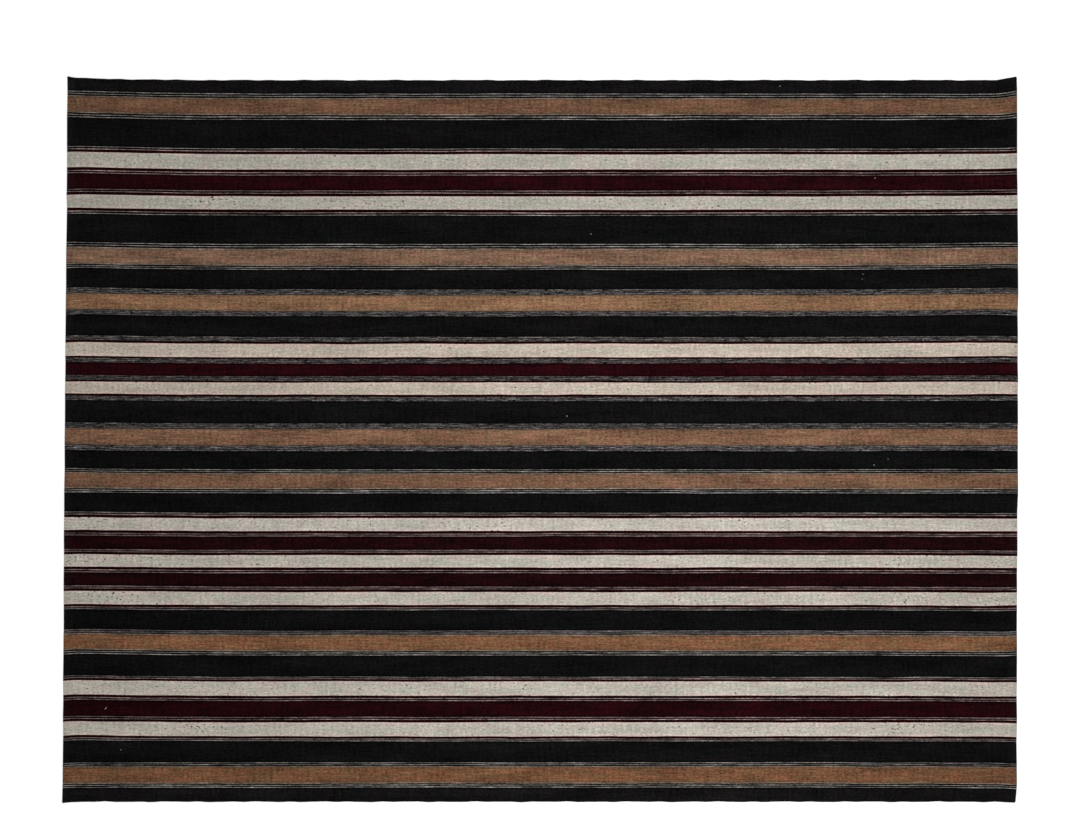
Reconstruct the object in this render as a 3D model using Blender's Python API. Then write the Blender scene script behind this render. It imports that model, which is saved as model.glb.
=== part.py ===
# Striped flat-woven wool kilim, one cloth lying flat. Metres, +Z up.
# +X runs along the stripes, which is the way the weft runs. +Y runs along the warp.
# The origin is on the floor, under the middle of the cloth's outline box.
import math

import bmesh
import bpy
from mathutils import Vector

# The cloth, measured across its middle
CLOTH_WIDTH = 3.6555
CLOTH_LENGTH = 2.772
CLOTH_THICKNESS = 0.0030

# The outline is not square. The left side leans outwards towards the bottom end, and
# both sides belly out, the left one below the middle and the right one above it.
LEFT_LEAN = 0.0185
LEFT_BELLY = 0.0014
LEFT_BELLY_MIDDLE = -0.35
LEFT_BELLY_HALF_LENGTH = 0.80
RIGHT_BELLY = 0.0045
RIGHT_BELLY_MIDDLE = 0.35
RIGHT_BELLY_HALF_LENGTH = 1.10

# At the bottom end the left corner flares out and the right one is tucked in
LEFT_CORNER_FLARE = 0.0015
LEFT_FLARE_REACH = 0.25
RIGHT_CORNER_TUCK = 0.0050
RIGHT_TUCK_REACH = 0.10

# Each side wavers a little, over a length and from a shift of its own
SELVEDGE_WOBBLE = 0.0006
LEFT_WOBBLE_LENGTH, LEFT_WOBBLE_SHIFT = 0.86, 0.9
RIGHT_WOBBLE_LENGTH, RIGHT_WOBBLE_SHIFT = 0.78, 2.2

# The selvedges hold the top end up at its two corners, the left one in a long sweep
# and a short ear, the right one in an ear alone
LEFT_SIDE, RIGHT_SIDE = -1, 1
TOP_CORNER_RISES = (
    # (side, rise at the corner, reach along the end)
    (LEFT_SIDE, 0.0088, 0.650),
    (LEFT_SIDE, 0.0073, 0.070),
    (RIGHT_SIDE, 0.0150, 0.096),
)
BOTTOM_DROP = 0.0042
BOTTOM_DROP_REACH = 0.12

# The stitches of the turned hems draw both ends into shallow, uneven scallops
SCALLOP_DEPTH = 0.0016
SCALLOP_WAVES = (
    # (length along the end, share of the depth)
    (0.118, 0.50),
    (0.071, 0.35),
    (0.293, 0.40),
)
TOP_SCALLOP_SHIFT = 0.4
BOTTOM_SCALLOP_SHIFT = 2.1

# The upper face next to an end: the cloth turned under makes a low rounded hem
HEM_PROFILE = (
    # (distance in from the end, height)
    (0.0000, 0.0014),
    (0.0008, 0.0031),
    (0.0030, 0.0042),
    (0.0060, 0.0045),
    (0.0105, 0.0040),
    (0.0130, CLOTH_THICKNESS),
)

# The upper face next to a side: a rounded rim, then corded warps side by side
RIM_HEIGHT = 0.0014
RIM_ROUND = 0.0008
SELVEDGE_CORDS = 3
CORD_PITCH = 0.0050
CORD_RISE = 0.0006

# The underside's edge lies this share of the rim's rounding further in
UNDER_EDGE_SHARE = 0.6
CORNER_RADIUS = 0.006

# How finely the outline is divided between the hems and between the selvedges
COLUMN_SPACING = 0.024
ROW_SPACING = 0.300
SHARP_FROM_DEGREES = 40


def fade(distance, reach):
    """1 at no distance, falling smoothly to 0 at the reach."""
    return max(0.0, 1.0 - distance / reach) ** 2


def bulge(distance, half_length):
    """1 at the middle of a belly, falling like a cosine to 0 at its two ends."""
    return math.cos(math.pi / 2 * max(-1.0, min(1.0, distance / half_length)))


def left_x(y):
    lean = LEFT_LEAN * y / CLOTH_LENGTH
    belly = LEFT_BELLY * bulge(y - LEFT_BELLY_MIDDLE, LEFT_BELLY_HALF_LENGTH)
    flare = LEFT_CORNER_FLARE * fade(y + CLOTH_LENGTH / 2, LEFT_FLARE_REACH)
    wobble = math.sin(2 * math.pi * y / LEFT_WOBBLE_LENGTH + LEFT_WOBBLE_SHIFT)
    return -CLOTH_WIDTH / 2 + lean - belly - flare + SELVEDGE_WOBBLE * wobble


def right_x(y):
    belly = RIGHT_BELLY * bulge(y - RIGHT_BELLY_MIDDLE, RIGHT_BELLY_HALF_LENGTH)
    tuck = RIGHT_CORNER_TUCK * fade(y + CLOTH_LENGTH / 2, RIGHT_TUCK_REACH)
    wobble = math.sin(2 * math.pi * y / RIGHT_WOBBLE_LENGTH + RIGHT_WOBBLE_SHIFT)
    return CLOTH_WIDTH / 2 + belly - tuck + SELVEDGE_WOBBLE * wobble


def scallop(x, shift):
    waves = (
        share * math.sin(2 * math.pi * x / length + shift * (1 + i))
        for i, (length, share) in enumerate(SCALLOP_WAVES)
    )
    return SCALLOP_DEPTH * sum(waves)


def top_y(x):
    rises = (
        rise * fade(CLOTH_WIDTH / 2 - side * x, reach)
        for side, rise, reach in TOP_CORNER_RISES
    )
    return CLOTH_LENGTH / 2 + sum(rises) + scallop(x, TOP_SCALLOP_SHIFT)


def bottom_y(x):
    corner = fade(CLOTH_WIDTH / 2 - abs(x), BOTTOM_DROP_REACH)
    return -CLOTH_LENGTH / 2 - BOTTOM_DROP * corner + scallop(x, BOTTOM_SCALLOP_SHIFT)


def selvedge_insets():
    """Distances in from a side: the rim, then each cord's crown and far foot."""
    insets = [0.0, RIM_ROUND]
    for cord in range(SELVEDGE_CORDS):
        insets += [(cord + 0.5) * CORD_PITCH, (cord + 1) * CORD_PITCH]
    return insets


def selvedge_height(inset):
    rim = min(1.0, inset / RIM_ROUND) * (CLOTH_THICKNESS - RIM_HEIGHT)
    cord = CORD_RISE * abs(math.sin(math.pi * inset / CORD_PITCH))
    return RIM_HEIGHT + rim + cord


def stations(size, insets, spacing):
    """Grid lines across a size, as (edge, value). Edge -1 or 1 is the nearer edge of
    the cloth, and the value the distance in from it. Edge 0 is between the inner
    lines of both edges, and the value the share of the way from one to the other."""
    count = round(size / spacing)
    between = [(0, i / count) for i in range(1, count)]
    return [(-1, d) for d in insets] + between + [(1, d) for d in reversed(insets)]


def placed(station, low, high, deepest):
    edge, value = station
    if edge < 0:
        return low + value
    if edge > 0:
        return high - value
    return low + deepest + value * (high - low - 2 * deepest)


def round_corner(point, low, high):
    """Moves a point of a square corner to its place on the rounded one."""
    centre = [
        min(max(point[axis], low[axis] + CORNER_RADIUS), high[axis] - CORNER_RADIUS)
        for axis in range(2)
    ]
    reach = [point[axis] - centre[axis] for axis in range(2)]
    if all(reach):
        shrink = max(abs(r) for r in reach) / math.hypot(*reach)
        for axis in range(2):
            point[axis] = centre[axis] + reach[axis] * shrink


def upper_face(bm):
    """A grid of vertices whose outer lines follow the hems and the selvedges."""
    hem_heights = dict(HEM_PROFILE)
    hem_insets = list(hem_heights)
    side_insets = selvedge_insets()
    grid = []
    for row in stations(CLOTH_LENGTH, hem_insets, ROW_SPACING):
        line = []
        for column in stations(CLOTH_WIDTH, side_insets, COLUMN_SPACING):
            x = placed(column, -CLOTH_WIDTH / 2, CLOTH_WIDTH / 2, side_insets[-1])
            y = placed(row, bottom_y(x), top_y(x), hem_insets[-1])
            low = (left_x(y), bottom_y(x))
            high = (right_x(y), top_y(x))
            point = Vector((placed(column, low[0], high[0], side_insets[-1]), y, 0.0))
            round_corner(point, low, high)
            side_height = selvedge_height(column[1]) if column[0] else CLOTH_THICKNESS
            hem_height = hem_heights[row[1]] if row[0] else CLOTH_THICKNESS
            point.z = side_height * hem_height / CLOTH_THICKNESS
            line.append(bm.verts.new(point))
        grid.append(line)
    for lower, upper in zip(grid, grid[1:]):
        for i in range(len(lower) - 1):
            bm.faces.new((lower[i], lower[i + 1], upper[i + 1], upper[i]))
    return grid


def close_underside(bm, grid):
    """Brings the rim down to the floor, a little inwards, and closes it flat."""
    last_row, last_column = len(grid) - 1, len(grid[0]) - 1
    round_the_rim = (
        [(0, column) for column in range(last_column)]
        + [(row, last_column) for row in range(last_row)]
        + [(last_row, column) for column in range(last_column, 0, -1)]
        + [(row, 0) for row in range(last_row, 0, -1)]
    )
    rim, under = [], []
    for row, column in round_the_rim:
        edge = grid[row][column]
        inner_row = min(max(row, 1), last_row - 1)
        inner_column = min(max(column, 1), last_column - 1)
        foot = edge.co.lerp(grid[inner_row][inner_column].co, UNDER_EDGE_SHARE)
        rim.append(edge)
        under.append(bm.verts.new((foot.x, foot.y, 0.0)))
    for i in range(len(rim)):
        bm.faces.new((rim[i], rim[i - 1], under[i - 1], under[i]))
    bm.faces.new(reversed(under))


def centre_over_origin(bm):
    xs = [vert.co.x for vert in bm.verts]
    ys = [vert.co.y for vert in bm.verts]
    middle = Vector((min(xs) + max(xs), min(ys) + max(ys), 0.0)) / 2
    bmesh.ops.translate(bm, verts=bm.verts, vec=-middle)


def woven_wool():
    """Matte wool, as the one mean colour of its dark and light stripes."""
    material = bpy.data.materials.new("woven_wool")
    material.use_nodes = True
    shader = material.node_tree.nodes["Principled BSDF"]
    shader.inputs["Base Color"].default_value = (0.065, 0.048, 0.040, 1.0)
    shader.inputs["Roughness"].default_value = 0.92
    shader.inputs["Metallic"].default_value = 0.0
    return material


def make_kilim():
    bm = bmesh.new()
    close_underside(bm, upper_face(bm))
    centre_over_origin(bm)
    bmesh.ops.recalc_face_normals(bm, faces=bm.faces)
    mesh = bpy.data.meshes.new("kilim")
    bm.to_mesh(mesh)
    bm.free()
    mesh.materials.append(woven_wool())
    mesh.shade_smooth()
    mesh.set_sharp_from_angle(angle=math.radians(SHARP_FROM_DEGREES))
    kilim = bpy.data.objects.new("kilim", mesh)
    bpy.context.scene.collection.objects.link(kilim)


for leftover in list(bpy.data.objects):
    bpy.data.objects.remove(leftover, do_unlink=True)
make_kilim()
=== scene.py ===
# Striped flat-woven kilim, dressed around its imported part. Metres, +Z up.
# +X runs along the stripes, as the weft does, and +Y along the warp.
import math

import bpy
import numpy as np
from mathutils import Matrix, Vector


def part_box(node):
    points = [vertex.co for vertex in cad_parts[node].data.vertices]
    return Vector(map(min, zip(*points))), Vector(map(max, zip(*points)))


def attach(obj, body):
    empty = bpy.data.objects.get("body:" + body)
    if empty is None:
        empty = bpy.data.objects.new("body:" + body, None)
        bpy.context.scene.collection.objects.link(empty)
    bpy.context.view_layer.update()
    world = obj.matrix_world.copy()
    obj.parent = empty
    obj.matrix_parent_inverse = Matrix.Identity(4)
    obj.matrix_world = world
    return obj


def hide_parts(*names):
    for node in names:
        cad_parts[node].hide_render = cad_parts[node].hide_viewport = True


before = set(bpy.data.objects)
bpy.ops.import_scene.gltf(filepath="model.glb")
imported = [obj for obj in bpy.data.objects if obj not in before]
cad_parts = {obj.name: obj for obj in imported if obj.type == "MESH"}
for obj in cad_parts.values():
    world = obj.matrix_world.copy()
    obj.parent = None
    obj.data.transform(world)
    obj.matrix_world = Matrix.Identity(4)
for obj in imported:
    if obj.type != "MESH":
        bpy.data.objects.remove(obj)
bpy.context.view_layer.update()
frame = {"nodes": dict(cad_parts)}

print("frame loaded:", ", ".join(frame["nodes"]))


def toLinear(hexColour):
    parts = [int(hexColour[i : i + 2], 16) / 255 for i in (1, 3, 5)]
    linear = [p / 12.92 if p <= 0.04045 else ((p + 0.055) / 1.055) ** 2.4 for p in parts]
    return (*linear, 1.0)


def addNode(tree, kind, inputs=None, **settings):
    node = tree.nodes.new(kind)
    for key, value in settings.items():
        setattr(node, key, value)
    for key, value in (inputs or {}).items():
        if isinstance(value, bpy.types.NodeSocket):
            tree.links.new(value, node.inputs[key])
        else:
            node.inputs[key].default_value = value
    return node


# The stripes, from the +Y end down: the band's yarn, how light its dye came out (1 is
# the yarn's own colour), the band's height in mm, then of the group of fine lines below
# it the height in mm, how light its lines are, and how evenly they were beaten in. The
# heights were measured in the photograph. The last band has no lines below it.
bands = [
    ("blackFaded", 1.08, 52.5, 20.7, 0.98, "clear"),
    ("tanDull", 1.11, 58.0, 21.8, 1.08, "clear"),
    ("black", 1.05, 111.1, 21.9, 1.15, "clear"),
    ("creamGrey", 1.05, 57.7, 22.9, 1.01, "clear"),
    ("burgundy", 1.07, 58.1, 22.7, 0.94, "clear"),
    ("creamGrey", 1.02, 50.3, 22.6, 1.00, "clear"),
    ("black", 1.05, 110.1, 21.1, 1.10, "clear"),
    ("tanPink", 1.04, 59.0, 17.5, 1.05, "clear"),
    ("black", 1.03, 76.6, 22.3, 1.03, "marled"),
    ("tanLight", 0.98, 60.2, 19.2, 0.99, "marled"),
    ("black", 1.04, 81.2, 26.1, 1.08, "marled"),
    ("creamWarm", 1.00, 50.9, 23.8, 0.98, "marled"),
    ("burgundyRed", 0.97, 49.5, 24.3, 0.85, "marled"),
    ("creamWarm", 0.97, 45.9, 24.9, 1.20, "marled"),
    ("black", 1.11, 86.5, 21.5, 0.89, "marled"),
    ("tanWarm", 0.99, 63.2, 20.9, 1.16, "marled"),
    ("black", 0.93, 70.6, 17.4, 0.96, "clear"),
    ("tanWarm", 0.89, 55.2, 18.5, 1.15, "clear"),
    ("black", 0.92, 75.5, 20.7, 1.23, "mixed"),
    ("creamCool", 0.97, 48.5, 21.2, 1.05, "mixed"),
    ("burgundyDeep", 0.99, 52.3, 20.3, 1.02, "mixed"),
    ("cream", 0.99, 46.6, 22.0, 1.13, "clear"),
    ("burgundyDeep", 0.88, 52.2, 20.6, 1.09, "mixed"),
    ("cream", 0.97, 49.1, 19.9, 1.17, "mixed"),
    ("black", 0.90, 79.2, 18.7, 0.97, "mixed"),
    ("tanOrange", 1.01, 56.7, 18.7, 1.08, "clear"),
    ("black", 0.94, 83.6, 18.0, 1.23, "mixed"),
    ("cream", 0.97, 53.6, 20.0, 1.23, "clear"),
    ("burgundy", 0.89, 62.3, 20.5, 1.06, "clear"),
    ("cream", 1.00, 53.0, 18.6, 1.32, "mixed"),
    ("black", 1.02, 83.0, 16.7, 1.01, "clear"),
    ("tanOrange", 0.87, 60.4, 18.1, 1.18, "clear"),
    ("blackFaded", 1.07, 55.5, 0.0, 1.00, None),
]

# The fine lines between two bands, as (yarn, share of the group's height), from the
# first named family to the second. Between the same two the other way round they run
# backwards.
clearLines = {
    ("black", "tan"): [
        ("greyLine", 2.1),
        ("blackGap", 5.4),
        ("greyLine", 2.1),
        ("blackGap", 5.3),
        ("tanPaleLine", 2.8),
    ],
    ("black", "cream"): [
        ("greyLine", 2.1),
        ("blackGap", 6.2),
        ("roseLine", 2.1),
        ("burgundyEdge", 10.7),
    ],
    ("cream", "burgundy"): [
        ("burgundyEdge", 10.2),
        ("roseLine", 1.9),
        ("blackGap", 5.2),
        ("roseDimLine", 2.9),
    ],
}
# Where the beating mixed the yarns, these stand in for the clear ones
mixedYarns = {"greyLine": "mixedLine", "roseLine": "mixedRoseLine", "blackGap": "mixedGap"}
# and where it marled them, the lines run together into one grey one with dark hairlines
marl = [("marlLine", 3.9), ("marlGap", 2.4)]
marledLines = {
    ("black", "tan"): marl + marl + [("marlLine", 4.4), ("marlBrown", 2.6)],
    ("black", "cream"): marl + marl + [("marlLine", 3.0), ("burgundyEdge", 9.4)],
    ("cream", "burgundy"): [("burgundyEdge", 7.6)] + marl + marl + [("marlRoseLine", 4.2)],
}

# Neps, the tufts of undyed fibre that stayed in the dark yarns, as
# (x and y in m, length and width in mm, turn in degrees)
neps = [
    (0.103, 0.091, 6, 5, 0),
    (1.286, 1.005, 6, 5, 30),
    (-1.667, -1.030, 20, 3, 48),
    (-1.610, -1.191, 5, 3, 90),
    (1.240, 0.636, 5, 4, 0),
    (1.236, 0.617, 5, 3, 60),
    (1.282, -0.097, 5, 4, 0),
    (1.336, -0.074, 5, 4, 45),
    (0.195, 0.790, 5, 4, 0),
    (0.921, 1.358, 5, 3, 20),
    (0.164, 0.237, 12, 2, 30),
]

# The cloth, with its lengths in metres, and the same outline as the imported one
cloth = {
    "width": 3.6555,
    "length": 2.772,
    "thickness": 0.0030,
    "leftLean": 0.0185,
    "leftBelly": (0.0014, -0.35, 0.80),  # (size, middle, half length)
    "rightBelly": (0.0045, 0.35, 1.10),
    "leftFlare": (0.0015, 0.25),  # (size, reach) at the bottom corner
    "rightTuck": (0.0050, 0.10),
    "selvedgeWobble": 0.0006,
    "leftWobble": (0.86, 0.9),  # (length, shift in radians)
    "rightWobble": (0.78, 2.2),
    # how the selvedges hold the top end up: (side, rise at the corner, reach)
    "topRises": [(-1, 0.0088, 0.650), (-1, 0.0073, 0.070), (1, 0.0150, 0.096)],
    "bottomDrop": (0.0042, 0.12),  # (size, reach)
    "scallop": 0.0016,
    "scallopWaves": [(0.118, 0.50), (0.071, 0.35), (0.293, 0.40)],  # (length, share)
    "topShift": 0.4,  # where the scallops start, in radians
    "bottomShift": 2.1,
    "cornerRadius": 0.006,
    # the turned hem's face: (distance in from the end, height)
    "hem": [
        (0, 0.0014),
        (0.0008, 0.0031),
        (0.003, 0.0042),
        (0.006, 0.0045),
        (0.0105, 0.004),
        (0.013, 0.003),
    ],
    "rimHeight": 0.0014,
    "rimRound": 0.0008,
    "cords": 3,
    "cordPitch": 0.0050,
    "cordRise": 0.0006,
    "footShare": 0.6,  # how far in the underside's edge lies, of the rim's rounding
    "columnSpacing": 0.0215,
    "rowSpacing": 0.015,
    # where dark fibres lie thicker: (band counted from 0, from x, to x, how thickly)
    "flecked": [
        (3, -1.90, 0.15, 0.45),
        (5, -2.00, 2.00, 0.50),
        (5, 0.45, 1.55, 0.62),
        (19, -2.00, -1.55, 0.75),
        (19, -1.60, 0.05, 0.30),
        (19, 0.60, 1.15, 0.45),
        (21, -2.00, -0.60, 0.60),
        (21, 1.20, 2.00, 0.62),
        (23, -2.00, -1.55, 0.80),
        (23, 0.35, 0.95, 0.60),
        (23, 1.25, 2.00, 0.85),
        (29, -1.40, -1.05, 0.78),
        (29, -0.50, 0.60, 0.50),
        (29, 1.20, 1.75, 0.80),
    ],
    "fleckedSteepness": 3,  # how suddenly such a place ends
    "borderPicks": 0.009,  # the first picks of a band, which crowd up on its border
    "wornSide": 0.030,  # how far in from a side the selvedge's wear shows
    "wornSteepness": 1.3,  # and how suddenly it ends
    "sidePull": 0.0007,  # how far single turns of the weft draw a side in or let it out
    "pullSpacing": 0.05,
    "groupSway": 0.0004,  # how far a whole group of fine lines wanders
    "groupSwaySpacings": (0.28, 0.11),
    "lineSway": 0.0004,  # and one line in it
    "lineSwaySpacing": 0.075,
    "lineCrown": 0.00035,  # how far a fine line's middle stands proud
    "unevenness": 0.00012,  # how far a band's face rises and falls from row to row
    "nepRise": 0.0006,  # how far a nep stands out of the face, and goes into it
    "seeds": {"lines": 27, "rows": 5, "sides": 11},
    "undersideColumns": 15,
    "sharpFrom": 50,  # degrees between two faces
}
tiny = 1e-9  # metres that count as none

# How the stripes bow towards the selvedges. Each row is at a distance in m from the
# +Y end, then come the rises in mm: a long sweep and a short ear at the left, then
# the same at the right.
bow = [
    (0.06, 11.5, 0.0, -0.5, 12.0),
    (0.14, 11.5, 0.5, 1.0, 8.0),
    (0.27, 12.0, -3.0, 2.0, 3.5),
    (0.50, 8.5, -1.5, 4.5, 0.0),
    (0.72, 9.5, -3.0, 8.5, -3.0),
    (0.86, 11.0, -6.0, 7.5, -4.5),
    (1.08, 6.5, -2.0, 5.5, -3.0),
    (1.22, 6.0, -0.5, 3.0, -2.0),
    (1.42, 5.0, 0.5, 3.0, -2.0),
    (1.56, 5.0, -1.5, 0.0, -0.5),
    (1.75, 4.0, -0.5, -2.0, 0.0),
    (2.02, 6.0, -3.0, -3.5, 2.0),
    (2.17, 8.5, -5.5, -5.5, 4.0),
    (2.37, 6.5, -5.0, -3.0, 0.0),
    (2.53, 5.5, -4.5, -1.5, -2.5),
    (2.63, 0.0, -3.5, -2.0, -3.5),
]
bowReach = {"sweep": 0.80, "leftEar": 0.08, "rightEar": 0.10}


def fade(distance, reach):
    return np.clip(1 - distance / reach, 0, None) ** 2


def plateau(distance, reach, steepness):
    # 1 at first, then straight down to 0 at the reach
    return np.clip(steepness - steepness * distance / reach, 0, 1)


def bulge(y, size, middle, half):
    return size * np.cos(math.pi / 2 * np.clip((y - middle) / half, -1, 1))


def wobble(y, length, shift):
    return cloth["selvedgeWobble"] * np.sin(2 * math.pi * y / length + shift)


def leftEdge(y):
    c = cloth
    size, reach = c["leftFlare"]
    flare = size * fade(y + c["length"] / 2, reach)
    lean = c["leftLean"] * y / c["length"]
    return -c["width"] / 2 + lean - bulge(y, *c["leftBelly"]) - flare + wobble(y, *c["leftWobble"])


def rightEdge(y):
    c = cloth
    size, reach = c["rightTuck"]
    tuck = size * fade(y + c["length"] / 2, reach)
    return c["width"] / 2 + bulge(y, *c["rightBelly"]) - tuck + wobble(y, *c["rightWobble"])


def scallops(x, shift):
    waves = [
        share * np.sin(2 * math.pi * x / size + shift * (1 + i))
        for i, (size, share) in enumerate(cloth["scallopWaves"])
    ]
    return cloth["scallop"] * sum(waves)


def topEdge(x):
    c = cloth
    rises = [rise * fade(c["width"] / 2 - side * x, reach) for side, rise, reach in c["topRises"]]
    return c["length"] / 2 + sum(rises) + scallops(x, c["topShift"])


def bottomEdge(x):
    c = cloth
    size, reach = c["bottomDrop"]
    drop = size * fade(c["width"] / 2 - np.abs(x), reach)
    return -c["length"] / 2 - drop + scallops(x, c["bottomShift"])


def wander(rng, x, spacing, size):
    # a smooth random line through knots a spacing apart, cut off at twice the size
    knots = rng.normal(0, size, int((x[-1] - x[0]) / spacing) + 3)
    place = (x - x[0]) / spacing
    low = place.astype(int)
    ease = place - low
    ease = ease * ease * (3 - 2 * ease)
    return np.clip(knots[low] * (1 - ease) + knots[low + 1] * ease, -2 * size, 2 * size)


def stripesInOrder():
    # every band and fine line from the +Y end down, with its height in m, and with the
    # band's number, which a fine line doesn't have
    stripes = []
    for i, (yarn, light, height, linesHeight, linesLight, style) in enumerate(bands):
        stripes.append({"yarn": yarn, "light": light, "height": height / 1000, "band": i})
        if not style:
            continue
        pair = (yarns[yarn]["family"], yarns[bands[i + 1][0]]["family"])
        groups = marledLines if style == "marled" else clearLines
        lines = groups.get(pair) or groups[pair[::-1]][::-1]
        total = sum(share for _, share in lines)
        for name, share in lines:
            if style == "mixed":
                name = mixedYarns.get(name, name)
            light = linesLight if "Line" in name else 1.0
            height = linesHeight / 1000 * share / total
            stripes.append({"yarn": name, "light": light, "height": height, "band": None})
    scale = cloth["length"] / sum(stripe["height"] for stripe in stripes)
    for stripe in stripes:
        stripe["height"] *= scale
    return stripes


def columnsAcross():
    # (nominal x, side, distance in from that side), with the selvedge's cords drawn
    insets = [0, cloth["rimRound"]]
    for cord in range(cloth["cords"]):
        insets += [(cord + 0.5) * cloth["cordPitch"], (cord + 1) * cloth["cordPitch"]]
    half = cloth["width"] / 2
    count = round(cloth["width"] / cloth["columnSpacing"])
    between = np.linspace(-half + insets[-1], half - insets[-1], count + 1)[1:-1]
    left = [(-half + d, -1, d) for d in insets]
    right = [(half - d, 1, d) for d in reversed(insets)]
    return left + [(x, 0, insets[-1]) for x in between] + right


def boundaryLines(stripes, x):
    # each line where two stripes meet: how far down it lies, and its y at each nominal x
    c = cloth
    rng = np.random.default_rng(c["seeds"]["lines"])
    table = np.array(bow)
    down = np.concatenate([[0], np.cumsum([stripe["height"] for stripe in stripes])])
    fromLeft, fromRight = x + c["width"] / 2, c["width"] / 2 - x
    shapes = [
        fade(fromLeft, bowReach["sweep"]),
        fade(fromLeft, bowReach["leftEar"]),
        fade(fromRight, bowReach["sweep"]),
        fade(fromRight, bowReach["rightEar"]),
    ]
    lines = [topEdge(x)]
    for above, v in zip(stripes, down[1:-1]):
        rises = [np.interp(v, table[:, 0], table[:, k + 1]) for k in range(len(shapes))]
        y = c["length"] / 2 - v + sum(rise * shape for rise, shape in zip(rises, shapes)) / 1000
        if above["band"] is not None:  # the first line of a group: a new sway
            groupSway = sum(wander(rng, x, s, c["groupSway"]) for s in c["groupSwaySpacings"])
        lines.append(y + groupSway + wander(rng, x, c["lineSwaySpacing"], c["lineSway"]))
    lines.append(bottomEdge(x))
    return down, np.array(lines)


def rowsDown(stripes):
    # (stripe, share of its height, rise of the cloth there, how near a band's border)
    c = cloth
    rng = np.random.default_rng(c["seeds"]["rows"])
    hemInsets = [inset for inset, _ in c["hem"]]
    last = len(stripes) - 1
    rows = []
    for i, stripe in enumerate(stripes):
        if i > 0:
            rows.append((i, 0.0, 0.0, 1.0))
        if stripe["band"] is None:
            if "Line" in stripe["yarn"]:
                rows.append((i, 0.5, c["lineCrown"], 1.0))
            continue
        height = stripe["height"]
        above = hemInsets if i == 0 else [c["borderPicks"]]
        below = [height - d for d in (hemInsets[::-1] if i == last else [c["borderPicks"]])]
        count = max(1, round((below[0] - above[-1]) / c["rowSpacing"]))
        between = list(np.linspace(above[-1], below[0], count + 1)[1:-1])
        for d in above + between + below:
            lift = c["unevenness"] * rng.normal() if d in between else 0.0
            rows.append((i, d / height, lift, 0.0))
    return rows


def fibresAlong(band, x):
    # how thickly the dark fibres lie along a band
    fibres = np.zeros_like(x)
    for place, start, end, thickly in cloth["flecked"]:
        if place == band:
            middle, half = (start + end) / 2, (end - start) / 2
            inside = plateau(np.abs(x - middle), half, cloth["fleckedSteepness"])
            fibres = np.maximum(fibres, thickly * inside)
    return fibres


def surfaceGrid(stripes):
    # the upper face as arrays of x, y, z by row and column, with what the yarns read
    c = cloth
    x0, side, inset = (np.array(values) for values in zip(*columnsAcross()))
    down, lines = boundaryLines(stripes, x0)
    rows = rowsDown(stripes)
    rng = np.random.default_rng(c["seeds"]["sides"])
    pull = [wander(rng, down, c["pullSpacing"], c["sidePull"]) for _ in range(2)]
    cord = c["cordRise"] * np.abs(np.sin(math.pi * inset / c["cordPitch"])) * (side != 0)
    rim = np.clip(inset / c["rimRound"], 0, 1) * (c["thickness"] - c["rimHeight"])
    sideHeight = c["rimHeight"] + rim + cord
    hemInsets, hemHeights = zip(*c["hem"])
    hemDepth = hemInsets[-1]
    inner = inset.max()
    shareAcross = (x0 + c["width"] / 2 - inner) / (c["width"] - 2 * inner)
    worn = plateau(c["width"] / 2 - np.abs(x0), c["wornSide"], c["wornSteepness"])
    last = len(stripes) - 1
    points, woven = [], []
    readings = {"border": [], "worn": [], "flecked": []}
    for stripe, share, lift, nearBorder in rows:
        height = stripes[stripe]["height"]
        y = lines[stripe] * (1 - share) + lines[stripe + 1] * share
        fromEnd = np.inf
        if stripe == 0 and share * height <= hemDepth + tiny:
            fromEnd = share * height
            y = lines[0] - fromEnd
        if stripe == last and (1 - share) * height <= hemDepth + tiny:
            fromEnd = (1 - share) * height
            y = lines[-1] + fromEnd
        hemHeight = np.interp(min(fromEnd, hemDepth), hemInsets, hemHeights)
        v = down[stripe] + share * height
        low = leftEdge(y) + np.interp(v, down, pull[0])
        high = rightEdge(y) + np.interp(v, down, pull[1])
        x = low + inner + shareAcross * (high - low - 2 * inner)
        x = np.where(side < 0, low + inset, np.where(side > 0, high - inset, x))
        z = sideHeight * hemHeight / c["thickness"] + lift * (side == 0)
        points.append(np.stack([x, y, z], axis=1))
        woven.append(np.stack([x0, np.full_like(x0, v), np.zeros_like(x0)], axis=1))
        readings["border"].append(np.full_like(x0, nearBorder))
        readings["worn"].append(worn)
        readings["flecked"].append(fibresAlong(stripes[stripe]["band"], x0))
    points = np.array(points)
    roundCorners(points)
    return rows, points, np.array(woven), {name: np.array(v) for name, v in readings.items()}


def roundCorners(points):
    radius = cloth["cornerRadius"]
    xs, ys = points[:, :, 0], points[:, :, 1]
    centreX = np.clip(xs, xs[:, :1] + radius, xs[:, -1:] - radius)
    centreY = np.clip(ys, ys[-1:, :] + radius, ys[:1, :] - radius)
    reachX, reachY = xs - centreX, ys - centreY
    inCorner = (np.abs(reachX) > tiny) & (np.abs(reachY) > tiny)
    longest = np.maximum(np.abs(reachX), np.abs(reachY))
    shrink = np.where(inCorner, longest / np.maximum(np.hypot(reachX, reachY), tiny), 1)
    points[:, :, 0] = centreX + reachX * shrink
    points[:, :, 1] = centreY + reachY * shrink


def ringAround(rowCount, columnCount):
    # grid places once round the rim, against the clock seen from above
    top = [(0, k) for k in range(columnCount - 1, 0, -1)]
    left = [(r, 0) for r in range(rowCount - 1)]
    bottom = [(rowCount - 1, k) for k in range(columnCount - 1)]
    right = [(r, columnCount - 1) for r in range(rowCount - 1, 0, -1)]
    return top + left + bottom + right


def addFace(sheet, corners, stripe, part):
    sheet["faces"].append(corners)
    sheet["stripes"].append(stripe)
    sheet["parts"].append(part)


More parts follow.
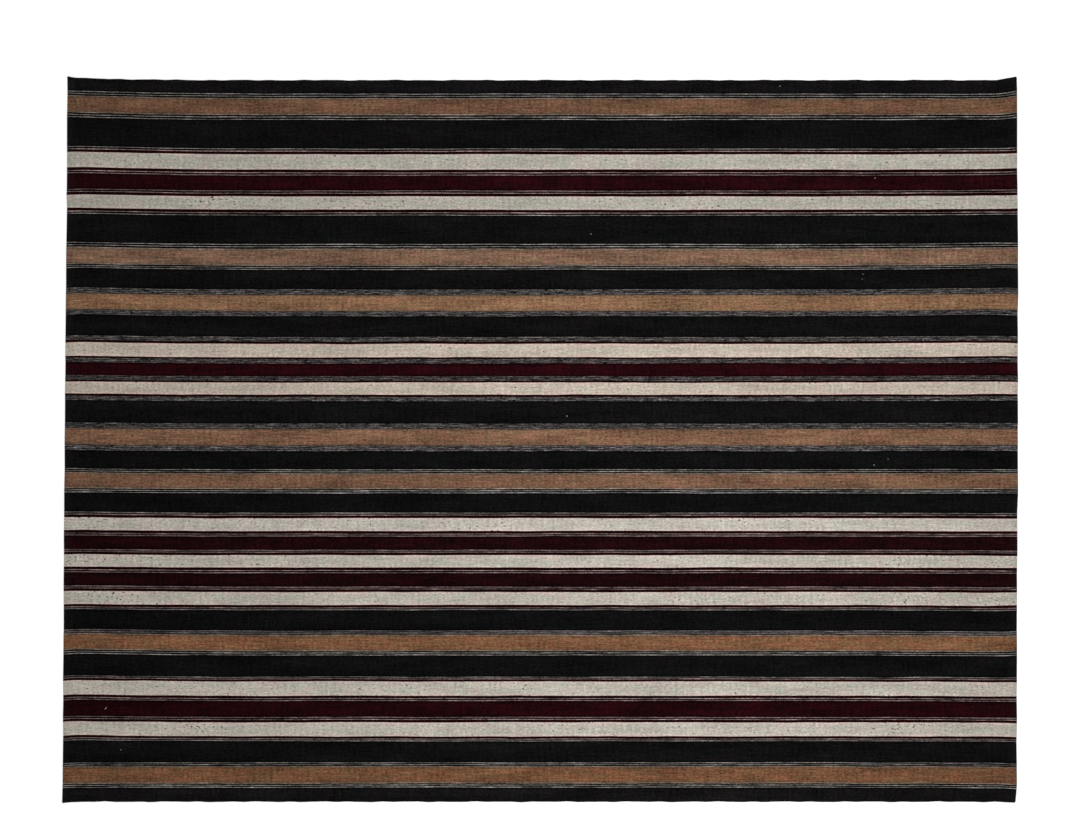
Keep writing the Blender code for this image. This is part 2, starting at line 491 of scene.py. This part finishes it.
def addUpperFace(sheet, rows, columnCount):
    for r, (stripe, *_) in enumerate(rows[:-1]):
        for k in range(columnCount - 1):
            a = r * columnCount + k
            addFace(sheet, (a, a + columnCount, a + columnCount + 1, a + 1), stripe, "upper")


def addUnderside(sheet, rows, points, woven, readings):
    # it keeps every place of the rim, and of the rest only the lines between stripes and
    # a few columns
    rowCount, columnCount = points.shape[:2]
    lastRow, lastColumn = rowCount - 1, columnCount - 1
    stripeOfRow = [row[0] for row in rows]
    underRows = sorted({r for r in range(rowCount) if rows[r][1] == 0} | {0, lastRow})
    step = lastColumn / cloth["undersideColumns"]
    underColumns = [round(step * k) for k in range(cloth["undersideColumns"] + 1)]
    ring = ringAround(rowCount, columnCount)
    onRim = set(ring)
    under = {}
    for place in ring + [(r, k) for r in underRows for k in underColumns]:
        if place in under:
            continue
        r, k = place
        foot = points[r, k].copy()
        if place in onRim:
            inner = points[min(max(r, 1), lastRow - 1), min(max(k, 1), lastColumn - 1)]
            foot += (inner - foot) * cloth["footShare"]
        foot[2] = 0
        under[place] = len(sheet["vertices"])
        sheet["vertices"].append(foot.tolist())
        sheet["woven"].append(woven[r, k].tolist())
        for name, values in readings.items():
            sheet["readings"][name].append(0.0 if name == "border" else values[r, k])

    # the walls of the rim
    for place, following in zip(ring, ring[1:] + ring[:1]):
        a = place[0] * columnCount + place[1]
        b = following[0] * columnCount + following[1]
        stripe = stripeOfRow[min(place[0], following[0], lastRow - 1)]
        addFace(sheet, (a, under[place], under[following], b), stripe, "upper")

    # the flat faces, which meet the rim at every one of its places
    for r0, r1 in zip(underRows, underRows[1:]):
        for k0, k1 in zip(underColumns, underColumns[1:]):
            across, along = range(k0, k1 + 1), range(r0, r1 + 1)
            topSide = [(r0, k) for k in (across if r0 == 0 else (k0, k1))]
            rightSide = [(r, k1) for r in (along if k1 == lastColumn else (r0, r1))]
            bottomSide = [(r1, k) for k in (across if r1 == lastRow else (k0, k1))]
            leftSide = [(r, k0) for r in (along if k0 == 0 else (r0, r1))]
            walk = topSide + rightSide[1:] + bottomSide[-2::-1] + leftSide[-2:0:-1]
            addFace(sheet, [under[place] for place in walk], stripeOfRow[r0], "under")


def addNeps(sheet):
    # each is a low tuft of four corners, with a tip above the face and one below it
    face = cloth["thickness"]
    for x, y, length, width, turn in neps:
        first = len(sheet["vertices"])
        for reach, angle in ((length, 0), (width, 90), (length, 180), (width, 270)):
            direction = math.radians(turn) + math.radians(angle)
            dx, dy = (reach / 2000 * f(direction) for f in (math.cos, math.sin))
            sheet["vertices"].append([x + dx, y + dy, face])
        sheet["vertices"] += [[x, y, face + cloth["nepRise"]], [x, y, face - cloth["nepRise"]]]
        for k in range(4):
            a, b = first + k, first + (k + 1) % 4
            addFace(sheet, (a, b, first + 4), None, "nep")
            addFace(sheet, (b, a, first + 5), None, "nep")
        added = len(sheet["vertices"]) - first
        sheet["woven"] += [[x, y, 0]] * added
        for values in sheet["readings"].values():
            values += [0.0] * added


def makeCloth(materials):
    stripes = stripesInOrder()
    rows, points, woven, readings = surfaceGrid(stripes)
    sheet = {
        "vertices": points.reshape(-1, 3).tolist(),
        "woven": woven.reshape(-1, 3).tolist(),  # where a vertex lies on the flat, even cloth
        "readings": {name: values.reshape(-1).tolist() for name, values in readings.items()},
        "faces": [],
        "stripes": [],  # of each face, and None for a nep's
        "parts": [],  # of the map, for each face
    }
    addUpperFace(sheet, rows, points.shape[1])
    addUnderside(sheet, rows, points, woven, readings)

    vertices = np.array(sheet["vertices"])
    low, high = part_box("kilim")
    middle = (vertices.min(0) + vertices.max(0)) / 2
    vertices[:, 0] += (low.x + high.x) / 2 - middle[0]
    vertices[:, 1] += (low.y + high.y) / 2 - middle[1]
    sheet["vertices"] = vertices.tolist()
    addNeps(sheet)

    mesh = bpy.data.meshes.new("kilimCloth")
    mesh.from_pydata(sheet["vertices"], [], sheet["faces"])
    names = list(materials)
    for material in materials.values():
        mesh.materials.append(material)
    undyed = {"yarn": "undyed", "light": 1.0}
    faceStripes = [undyed if i is None else stripes[i] for i in sheet["stripes"]]
    slots = [names.index(stripe["yarn"]) for stripe in faceStripes]
    mesh.polygons.foreach_set("material_index", slots)
    attribute = mesh.attributes.new("woven", "FLOAT_VECTOR", "POINT")
    attribute.data.foreach_set("vector", np.ravel(sheet["woven"]))
    for name, values in sheet["readings"].items():
        attribute = mesh.attributes.new(name, "FLOAT", "POINT")
        attribute.data.foreach_set("value", values)
    attribute = mesh.attributes.new("dyeLight", "FLOAT", "FACE")
    attribute.data.foreach_set("value", [stripe["light"] for stripe in faceStripes])
    layOutMap(mesh, sheet["parts"])
    mesh.shade_smooth()
    mesh.set_sharp_from_angle(angle=math.radians(cloth["sharpFrom"]))
    kilim = bpy.data.objects.new("kilimCloth", mesh)
    bpy.context.scene.collection.objects.link(kilim)
    return kilim


def layOutMap(mesh, faceParts):
    # one flat map: u down the warp, v along the weft, with the upper face on the first
    # part of v, then the underside, and the neps on a strip beside them
    parts = {"upper": (0.004, 0.632), "under": (0.648, 0.346), "nep": (0.9965, 0.002)}
    margin = 0.003
    nearEdge = 0.01
    coordinates = np.zeros(len(mesh.vertices) * 3)
    mesh.vertices.foreach_get("co", coordinates)
    coordinates = coordinates.reshape(-1, 3)
    low, high = coordinates.min(0), coordinates.max(0)
    size = high - low
    # the rim's walls are laid out beside the face, by the height that they cover
    spread = cloth["rimHeight"] / size
    uv = mesh.uv_layers.new(name="OFBake")
    values = np.zeros((len(mesh.loops), 2))
    for polygon, part in zip(mesh.polygons, faceParts):
        start, share = parts[part]
        for loop in polygon.loop_indices:
            x, y, z = coordinates[mesh.loops[loop].vertex_index]
            u, v = (high[1] - y) / size[1], (x - low[0]) / size[0]
            if part == "upper" and z == 0:
                if min(u, 1 - u) < nearEdge:
                    u += math.copysign(spread[1], u - 0.5)
                if min(v, 1 - v) < nearEdge:
                    v += math.copysign(spread[0], v - 0.5)
            values[loop] = (margin + (1 - 2 * margin) * u, start + share * v)
    uv.data.foreach_set("uv", values.ravel())


# The yarns. Hand-spun wool, dyed before weaving and beaten down hard over the warp:
# to the eye quite matt, with faint streaks down the warp, thicker and thinner picks
# along the weft, and a hue that wanders between two shades of one lot.
yarns = {
    "black": {"family": "black", "colour": "#100E0F", "shade": "#0D0E0E"},
    "blackFaded": {"family": "black", "colour": "#141112", "shade": "#101011"},
    "tanDull": {"family": "tan", "colour": "#6B4B3A", "shade": "#674D3A"},
    "tanPink": {"family": "tan", "colour": "#795A49", "shade": "#755C49"},
    "tanLight": {"family": "tan", "colour": "#856149", "shade": "#816349"},
    "tanWarm": {"family": "tan", "colour": "#7C5946", "shade": "#785B46"},
    "tanOrange": {"family": "tan", "colour": "#79513A", "shade": "#74543B"},
    "creamGrey": {"family": "cream", "colour": "#B0A89F", "shade": "#ABAA9D"},
    "creamWarm": {"family": "cream", "colour": "#BDAEA2", "shade": "#B9B1A1"},
    "creamCool": {"family": "cream", "colour": "#BDB4AB", "shade": "#B9B6AA"},
    "cream": {"family": "cream", "colour": "#B9AFA5", "shade": "#B3B1A4"},
    "burgundy": {"family": "burgundy", "colour": "#25070B", "shade": "#1D070A"},
    "burgundyRed": {"family": "burgundy", "colour": "#28070C", "shade": "#20070B"},
    "burgundyDeep": {"family": "burgundy", "colour": "#1F070A", "shade": "#180709"},
    "burgundyEdge": {"family": "line", "colour": "#1A0402", "shade": "#140303"},
    "blackGap": {"family": "line", "colour": "#060504", "shade": "#050505"},
    "mixedGap": {"family": "line", "colour": "#2C2826", "shade": "#262122"},
    "greyLine": {"family": "line", "colour": "#847F7C", "shade": "#7B7874"},
    "roseLine": {"family": "line", "colour": "#957E7C", "shade": "#8D7876"},
    "roseDimLine": {"family": "line", "colour": "#715D5C", "shade": "#6A5857"},
    "mixedLine": {"family": "line", "colour": "#746E6C", "shade": "#6C6866"},
    "mixedRoseLine": {"family": "line", "colour": "#7C6766", "shade": "#736260"},
    "tanPaleLine": {"family": "line", "colour": "#7D6C62", "shade": "#746759"},
    "marlLine": {"family": "marl", "colour": "#4F4B4A", "shade": "#464443"},
    "marlRoseLine": {"family": "marl", "colour": "#4D4142", "shade": "#443C3D"},
    "marlGap": {"family": "marl", "colour": "#242121", "shade": "#1E1C1C"},
    "marlBrown": {"family": "marl", "colour": "#2E201A", "shade": "#2A1D19"},
    "undyed": {"family": "line", "colour": "#B0AAA4", "shade": "#A8A39C"},
}

# What unevenness shows, each with its length along the weft and its height along the
# warp in mm. Warps stand 4 mm apart and picks 2 mm, both finer than the picture, so
# they are drawn as the streaks and knots that they gather into.
weaveMarks = {
    "rib": (12, 60),  # warps that stand a little proud under the weft
    "pick": (95, 5.5),  # thicker and thinner picks
    "knot": (11, 6.5),  # slubs in the hand-spun yarn
    "drift": (300, 55),  # the dye's own unevenness
    "lot": (110, 22),  # where the hue goes from the one shade to the other
    "fleck": (12, 8),  # single darker fibres, and a tint of their own
    "dash": (42, 4.5),  # where a line of one pick dips under its neighbours
    "hairline": (44, 3.3),  # where marled picks cross
    "thread": (10, 4.5),  # the single warps under both
}

# How strongly each family of yarn shows them, how far its tint and flecks go, and how
# the picks that crowd up on a band's border change its red, green and blue
families = {
    "black": {
        "marks": {"rib": 0.46, "pick": 0.49, "knot": 0.99, "drift": 0.62},
        "tint": 0.45,
        "fleck": 0.0,
        "border": (0.40, 0.40, 0.40),
    },
    "tan": {
        "marks": {"rib": 0.36, "pick": 0.59, "knot": 0.84, "drift": 0.53},
        "tint": 0.26,
        "fleck": 0.45,
        "border": (0.66, 0.82, 0.98),
    },
    "cream": {
        "marks": {"rib": 0.21, "pick": 0.25, "knot": 0.50, "drift": 0.22},
        "tint": 0.12,
        "fleck": 0.80,
        "border": (1.28, 1.11, 1.18),
    },
    "burgundy": {
        "marks": {"rib": 0.50, "pick": 0.45, "knot": 0.90, "drift": 0.45},
        "tint": 0.35,
        "fleck": 0.0,
        "border": (0.20, 0.20, 0.22),
    },
    "line": {
        "marks": {"dash": 1.25, "thread": 1.10, "drift": 0.70},
        "tint": 0.20,
        "fleck": 0.0,
        "border": (1, 1, 1),
    },
    "marl": {
        "marks": {"hairline": 2.70, "thread": 1.90},
        "tint": 0.20,
        "fleck": 0.0,
        "border": (1, 1, 1),
    },
}

wool = {
    "roughness": 0.93,
    "ior": 1.54,  # wool fibre
    "specular": 0.02,  # the pile of fibres hides nearly all of it
    "eyeGamma": 2.2,  # the marks are even to the eye, and the colours are linear
    "darkest": 0.05,  # however many marks meet
    "driftGathers": 0.3,  # how strongly the drift draws dark fibres together,
    "placeGathers": 0.085,  # and a place where they lie thicker
    "fleckFrom": 0.86,  # where the sum of these begins to show as a dark fibre
    "fleckSpan": 0.06,  # and how much further on it is one altogether
    "lotFrom": 0.38,  # below it the yarn has its first shade,
    "lotTo": 0.62,  # and above it the second
    "wornShade": 0.10,  # the selvedge darkens a light yarn
    "wornDust": 0.0022,  # and dust lightens a dark one
    "raised": ("rib", "pick", "knot"),  # the marks that can be felt too
    "bump": 0.35,
    "bumpHeight": 0.001,  # in metres
}


def darkFibres(tree, layers, darkness):
    flecked = addNode(tree, "ShaderNodeAttribute", attribute_name="flecked").outputs["Fac"]
    gathered = layers["fleck"].outputs["Fac"]
    for source, amount in (
        (layers["drift"].outputs["Fac"], wool["driftGathers"]),
        (flecked, wool["placeGathers"]),
    ):
        terms = {0: source, 1: amount, 2: gathered}
        gathered = addNode(tree, "ShaderNodeMath", terms, operation="MULTIPLY_ADD").outputs[0]
    span = {
        "Value": gathered,
        "From Min": wool["fleckFrom"],
        "From Max": wool["fleckFrom"] + wool["fleckSpan"],
        "To Min": 1.0,
        "To Max": 1 - darkness,
    }
    return addNode(tree, "ShaderNodeMapRange", span).outputs[0]


def yarnLight(tree, layers, family, worn):
    # how light the yarn is at each place, first to the eye and then linear
    light = 1 - sum(family["marks"].values()) / 2
    for mark, amount in family["marks"].items():
        terms = {0: layers[mark].outputs["Fac"], 1: amount, 2: light}
        light = addNode(tree, "ShaderNodeMath", terms, operation="MULTIPLY_ADD").outputs[0]
    dyeLight = addNode(tree, "ShaderNodeAttribute", attribute_name="dyeLight").outputs["Fac"]
    steps = [("MAXIMUM", wool["darkest"]), ("POWER", wool["eyeGamma"]), ("MULTIPLY", dyeLight)]
    if family["fleck"]:
        steps.append(("MULTIPLY", darkFibres(tree, layers, family["fleck"])))
    terms = {0: worn, 1: -wool["wornShade"], 2: 1}
    wear = addNode(tree, "ShaderNodeMath", terms, operation="MULTIPLY_ADD").outputs[0]
    steps.append(("MULTIPLY", wear))
    for operation, value in steps:
        terms = {0: light, 1: value}
        light = addNode(tree, "ShaderNodeMath", terms, operation=operation).outputs[0]
    return light


def yarnHue(tree, layers, family, look):
    # which of its two shades the yarn has at each place, with a tint of each fibre's own
    span = {"From Min": wool["lotFrom"], "From Max": wool["lotTo"]}
    span["Value"] = layers["lot"].outputs["Fac"]
    lot = addNode(tree, "ShaderNodeMapRange", span, interpolation_type="SMOOTHSTEP").outputs[0]
    shades = {0: lot, 6: toLinear(look["colour"]), 7: toLinear(look["shade"])}
    hue = addNode(tree, "ShaderNodeMix", shades, data_type="RGBA").outputs[2]
    tint = family["tint"]
    terms = {0: layers["fleck"].outputs["Color"], 1: (tint,) * 3, 2: (1 - tint / 2,) * 3}
    changes = [addNode(tree, "ShaderNodeVectorMath", terms, operation="MULTIPLY_ADD").outputs[0]]
    if family["border"] != (1, 1, 1):
        border = addNode(tree, "ShaderNodeAttribute", attribute_name="border").outputs["Fac"]
        crowded = {0: border, 6: (1, 1, 1, 1), 7: (*family["border"], 1)}
        changes.append(addNode(tree, "ShaderNodeMix", crowded, data_type="RGBA").outputs[2])
    for change in changes:
        terms = {0: hue, 1: change}
        hue = addNode(tree, "ShaderNodeVectorMath", terms, operation="MULTIPLY").outputs[0]
    return hue


def woolYarn(name, look):
    material = bpy.data.materials.new("dyed_wool_" + name)
    material.use_nodes = True
    tree = material.node_tree
    shader = tree.nodes["Principled BSDF"]
    family = families[look["family"]]
    woven = addNode(tree, "ShaderNodeAttribute", attribute_name="woven").outputs["Vector"]
    worn = addNode(tree, "ShaderNodeAttribute", attribute_name="worn").outputs["Fac"]

    layers = {}
    for mark in dict.fromkeys([*family["marks"], *wool["raised"], "lot", "fleck"]):
        length, height = weaveMarks[mark]
        scale = (1000 / length, 1000 / height, 1)
        place = addNode(tree, "ShaderNodeVectorMath", {0: woven, 1: scale}, operation="MULTIPLY")
        noise = {"Vector": place.outputs[0], "Scale": 1, "Detail": 1}
        layers[mark] = addNode(tree, "ShaderNodeTexNoise", noise)

    light = yarnLight(tree, layers, family, worn)
    hue = yarnHue(tree, layers, family, look)
    terms = {0: worn, 1: wool["wornDust"]}
    dust = addNode(tree, "ShaderNodeMath", terms, operation="MULTIPLY").outputs[0]
    terms = {0: hue, 1: light, 2: dust}
    colour = addNode(tree, "ShaderNodeVectorMath", terms, operation="MULTIPLY_ADD").outputs[0]
    tree.links.new(colour, shader.inputs["Base Color"])

    height, *others = (layers[mark].outputs["Fac"] for mark in wool["raised"])
    for other in others:
        terms = {0: height, 1: other}
        height = addNode(tree, "ShaderNodeMath", terms, operation="ADD").outputs[0]
    raised = {"Height": height, "Strength": wool["bump"], "Distance": wool["bumpHeight"]}
    bump = addNode(tree, "ShaderNodeBump", raised)
    tree.links.new(bump.outputs[0], shader.inputs["Normal"])
    shader.inputs["Roughness"].default_value = wool["roughness"]
    shader.inputs["IOR"].default_value = wool["ior"]
    shader.inputs["Specular IOR Level"].default_value = wool["specular"]
    return material


def makeStage():
    # opal acrylic, lit a little from behind so that it stays white out to its edges
    floorLook = {"colour": 0.60, "glow": 0.58, "half": 40, "below": 0.0002}
    material = bpy.data.materials.new("opal_acrylic_floor")
    material.use_nodes = True
    shader = material.node_tree.nodes["Principled BSDF"]
    shader.inputs["Base Color"].default_value = (*(floorLook["colour"],) * 3, 1)
    shader.inputs["Emission Color"].default_value = (1, 1, 1, 1)
    shader.inputs["Emission Strength"].default_value = floorLook["glow"]
    shader.inputs["Roughness"].default_value = 1.0
    shader.inputs["Specular IOR Level"].default_value = 0.0
    half, z = floorLook["half"], -floorLook["below"]
    mesh = bpy.data.meshes.new("studioFloor")
    corners = [(-half, -half, z), (half, -half, z), (half, half, z), (-half, half, z)]
    mesh.from_pydata(corners, [], [(0, 1, 2, 3)])
    mesh.materials.append(material)
    floor = bpy.data.objects.new("studioFloor", mesh)
    bpy.context.scene.collection.objects.link(floor)


def makeLight():
    # a white room and a long strip softbox, which hangs over the right half and leaves
    # the left side of the cloth about a quarter darker
    room = 0.61
    softbox = {"power": 44, "size": (0.2, 4.0), "place": (0.60, -0.36, 2.54)}
    scene = bpy.context.scene
    world = bpy.data.worlds.new("studio")
    world.use_nodes = True
    background = next(n for n in world.node_tree.nodes if n.type == "BACKGROUND")
    background.inputs["Color"].default_value = (1, 1, 1, 1)
    background.inputs["Strength"].default_value = room
    scene.world = world
    data = bpy.data.lights.new("softbox", "AREA")
    data.energy = softbox["power"]
    data.shape = "RECTANGLE"
    data.size, data.size_y = softbox["size"]
    light = bpy.data.objects.new("softbox", data)
    light.location = softbox["place"]
    light.visible_camera = False
    scene.collection.objects.link(light)
    scene.view_settings.view_transform = "Standard"


def makeCamera():
    # straight above, framed as the 1080 x 840 photograph, whose pixel is that many metres
    # of cloth and whose middle lies that many pixels from the cloth's
    view = {"pixel": 0.00384, "across": 1080, "offCentre": (-0.2, 19.72), "lens": 85, "sensor": 36}
    data = bpy.data.cameras.new("camera")
    data.lens = view["lens"]
    data.sensor_width = view["sensor"]
    distance = view["lens"] / view["sensor"] * view["across"] * view["pixel"]
    camera = bpy.data.objects.new("camera", data)
    x, y = (pixels * view["pixel"] for pixels in view["offCentre"])
    camera.location = (x, y, distance + cloth["thickness"])
    bpy.context.scene.collection.objects.link(camera)
    bpy.context.scene.camera = camera


materials = {name: woolYarn(name, look) for name, look in yarns.items()}
print("yarns dyed:", len(materials))
kilim = makeCloth(materials)
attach(kilim, "root")
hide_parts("kilim")
print("kilim woven:", len(kilim.data.polygons), "faces")
makeStage()
makeLight()
makeCamera()
print("stage, light and camera set")
